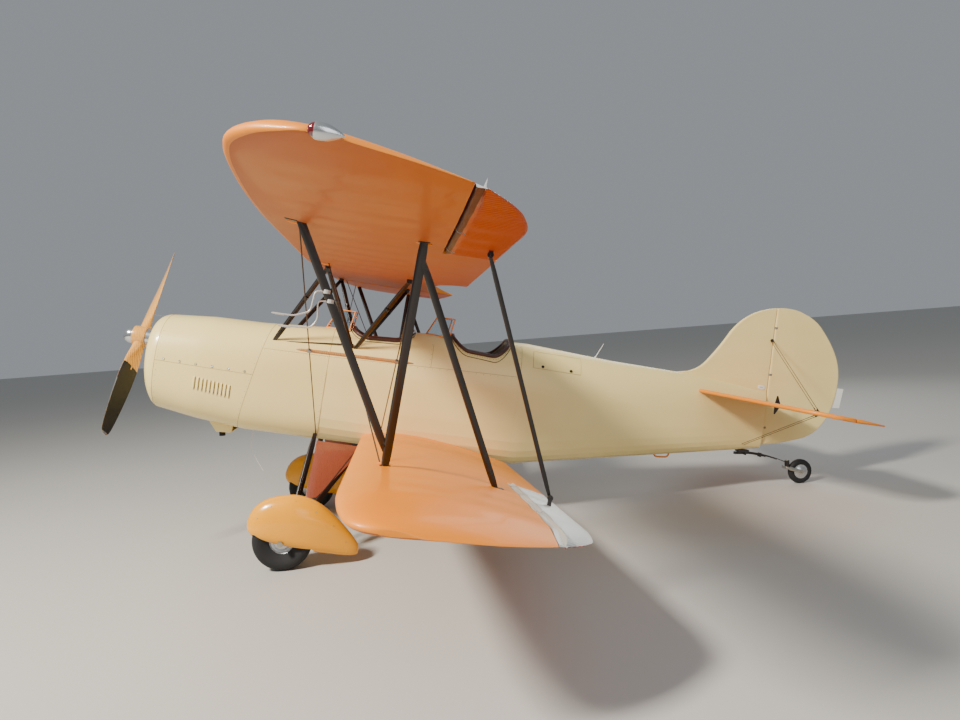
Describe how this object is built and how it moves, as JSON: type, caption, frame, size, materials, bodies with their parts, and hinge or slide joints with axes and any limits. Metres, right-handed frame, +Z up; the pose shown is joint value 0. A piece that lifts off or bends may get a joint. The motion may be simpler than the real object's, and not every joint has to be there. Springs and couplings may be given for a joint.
{
  "type": "two-seat open-cockpit biplane",
  "caption": "Open-cockpit tail-wheel biplane with staggered wings, strut and wire bracing, wheel spats, hinged control surfaces and a wooden propeller.",
  "frame": {"origin": "on the ground under the middle of the parked aircraft's outer box", "axes": "+X to the tail, +Y to starboard, +Z up, parked on three wheels with the nose up"},
  "size_m": [6.5216, 8.4416, 2.5928],
  "materials": {
    "cream_paint": "gloss",
    "orange_fabric": "doped, semi-gloss",
    "yellow_paint": "gloss",
    "dark_struts": "satin",
    "engine_black": "matt",
    "steel": "satin",
    "polished_aluminium": "polished",
    "mahogany_ply": "varnished",
    "propeller_wood": "varnished",
    "coaming_leather": "satin",
    "seat_leather": "matt",
    "tyre_rubber": "matt",
    "clear_pane": "clear"
  },
  "bodies": {
    "airframe": {"nose_bowl": "cream_paint", "cowl_upper": "cream_paint", "cowl_lower": "cream_paint", "tank_bay": "cream_paint", "fuselage": "cream_paint", "tail_cone": "cream_paint", "fin": "cream_paint", "upper_wing_port": "orange_fabric", "upper_wing_starboard": "orange_fabric", "lower_wing_port": "orange_fabric", "lower_wing_starboard": "orange_fabric", "centre_section": "orange_fabric", "stabiliser": "orange_fabric", "spat_port": "yellow_paint", "spat_starboard": "yellow_paint", "interplane_port": "dark_struts", "interplane_starboard": "dark_struts", "cabane_port": "dark_struts", "cabane_starboard": "dark_struts", "gear_leg_port": "dark_struts", "gear_leg_starboard": "dark_struts", "tail_spring": "dark_struts", "engine": "engine_black", "wires_port": "steel", "wires_starboard": "steel", "tail_wires_port": "steel", "tail_wires_starboard": "steel", "gear_panel_port": "mahogany_ply", "gear_panel_starboard": "mahogany_ply", "front_coaming": "coaming_leather", "rear_coaming": "coaming_leather", "front_seat": "seat_leather", "rear_seat": "seat_leather", "front_windshield": "clear_pane", "rear_windshield": "clear_pane"},
    "propeller": {"propeller": "propeller_wood", "spinner": "polished_aluminium"},
    "rudder": {"rudder": "cream_paint"},
    "elevators": {"elevator_port": "orange_fabric", "elevator_starboard": "orange_fabric"},
    "tail_fork": {"tail_fork": "steel"},
    "tail_wheel": {"tail_wheel": "tyre_rubber"},
    "baggage_hatch": {"baggage_hatch": "cream_paint"},
    "wheel_port": {"tyre_port": "tyre_rubber", "wheel_hub_port": "polished_aluminium"},
    "wheel_starboard": {"tyre_starboard": "tyre_rubber", "wheel_hub_starboard": "polished_aluminium"},
    "upper_aileron_port": {"upper_aileron_port": "orange_fabric"},
    "lower_aileron_port": {"lower_aileron_port": "orange_fabric"},
    "aileron_link_port": {"aileron_link_port": "dark_struts"},
    "upper_aileron_starboard": {"upper_aileron_starboard": "orange_fabric"},
    "lower_aileron_starboard": {"lower_aileron_starboard": "orange_fabric"},
    "aileron_link_starboard": {"aileron_link_starboard": "dark_struts"}
  },
  "joints": [
    {"name": "propeller_spin", "type": "hinge", "parent": "airframe", "child": "propeller", "pos_m": [-3.08901, 0, 1.84], "axis": [0.972, 0, -0.2351], "continuous": true},
    {"name": "wheel_spin_port", "type": "hinge", "parent": "airframe", "child": "wheel_port", "pos_m": [-1.8959, -0.93, 0.2225], "axis": [0, 1, 0], "continuous": true},
    {"name": "wheel_spin_starboard", "type": "hinge", "parent": "airframe", "child": "wheel_starboard", "pos_m": [-1.8959, 0.93, 0.2225], "axis": [0, 1, 0], "continuous": true},
    {"name": "tail_wheel_steer", "type": "hinge", "parent": "airframe", "child": "tail_fork", "pos_m": [2.65425, 0, 0.20364], "axis": [0, 0, 1], "range_deg": [-30, 30]},
    {"name": "tail_wheel_spin", "type": "hinge", "parent": "tail_fork", "child": "tail_wheel", "pos_m": [2.77685, 0, 0.11502], "axis": [0, 1, 0], "continuous": true},
    {"name": "rudder_hinge", "type": "hinge", "parent": "airframe", "child": "rudder", "pos_m": [2.42395, 0, 0.50627], "axis": [0.1891, 0, 0.982], "range_deg": [-25, 25]},
    {"name": "elevator_hinge", "type": "hinge", "parent": "airframe", "child": "elevators", "pos_m": [2.46119, 0, 0.79676], "axis": [0, 1, 0], "range_deg": [-25, 20]},
    {"name": "lower_aileron_hinge_port", "type": "hinge", "parent": "airframe", "child": "lower_aileron_port", "pos_m": [-0.3016, -0.33063, 0.60112], "axis": [-0.0127, 0.9985, -0.0526], "range_deg": [-20, 20]},
    {"name": "lower_aileron_hinge_starboard", "type": "hinge", "parent": "airframe", "child": "lower_aileron_starboard", "pos_m": [-0.3016, 0.33063, 0.60112], "axis": [0.0127, 0.9985, 0.0526], "range_deg": [-20, 20]},
    {"name": "upper_aileron_hinge_port", "type": "hinge", "parent": "airframe", "child": "upper_aileron_port", "pos_m": [-0.59486, -0.72034, 2.1193], "axis": [-0.0066, 0.9996, -0.0271], "range_deg": [-20, 20]},
    {"name": "upper_aileron_hinge_starboard", "type": "hinge", "parent": "airframe", "child": "upper_aileron_starboard", "pos_m": [-0.59486, 0.72034, 2.1193], "axis": [0.0066, 0.9996, 0.0271], "range_deg": [-20, 20]},
    {"name": "aileron_link_pin_port", "type": "hinge", "parent": "lower_aileron_port", "child": "aileron_link_port", "pos_m": [-0.1297, -2.44529, 0.71999], "axis": [-0.0127, 0.9985, -0.0526], "range_deg": [-22, 22]},
    {"name": "aileron_link_pin_starboard", "type": "hinge", "parent": "lower_aileron_starboard", "child": "aileron_link_starboard", "pos_m": [-0.1297, 2.44529, 0.71999], "axis": [0.0127, 0.9985, 0.0526], "range_deg": [-22, 22]},
    {"name": "baggage_hatch_hinge", "type": "hinge", "parent": "airframe", "child": "baggage_hatch", "pos_m": [0.25556, -0.19043, 1.46061], "axis": [-0.9663, -0.1082, 0.2338], "range_deg": [0, 100]}
  ],
  "couplings": [
    {"joint": "lower_aileron_hinge_starboard", "follows": "lower_aileron_hinge_port", "ratio": -1},
    {"joint": "upper_aileron_hinge_port", "follows": "lower_aileron_hinge_port", "ratio": 0.975},
    {"joint": "upper_aileron_hinge_starboard", "follows": "lower_aileron_hinge_port", "ratio": -0.975},
    {"joint": "aileron_link_pin_port", "follows": "lower_aileron_hinge_port", "ratio": -1.071},
    {"joint": "aileron_link_pin_starboard", "follows": "lower_aileron_hinge_port", "ratio": 1.071}
  ]
}
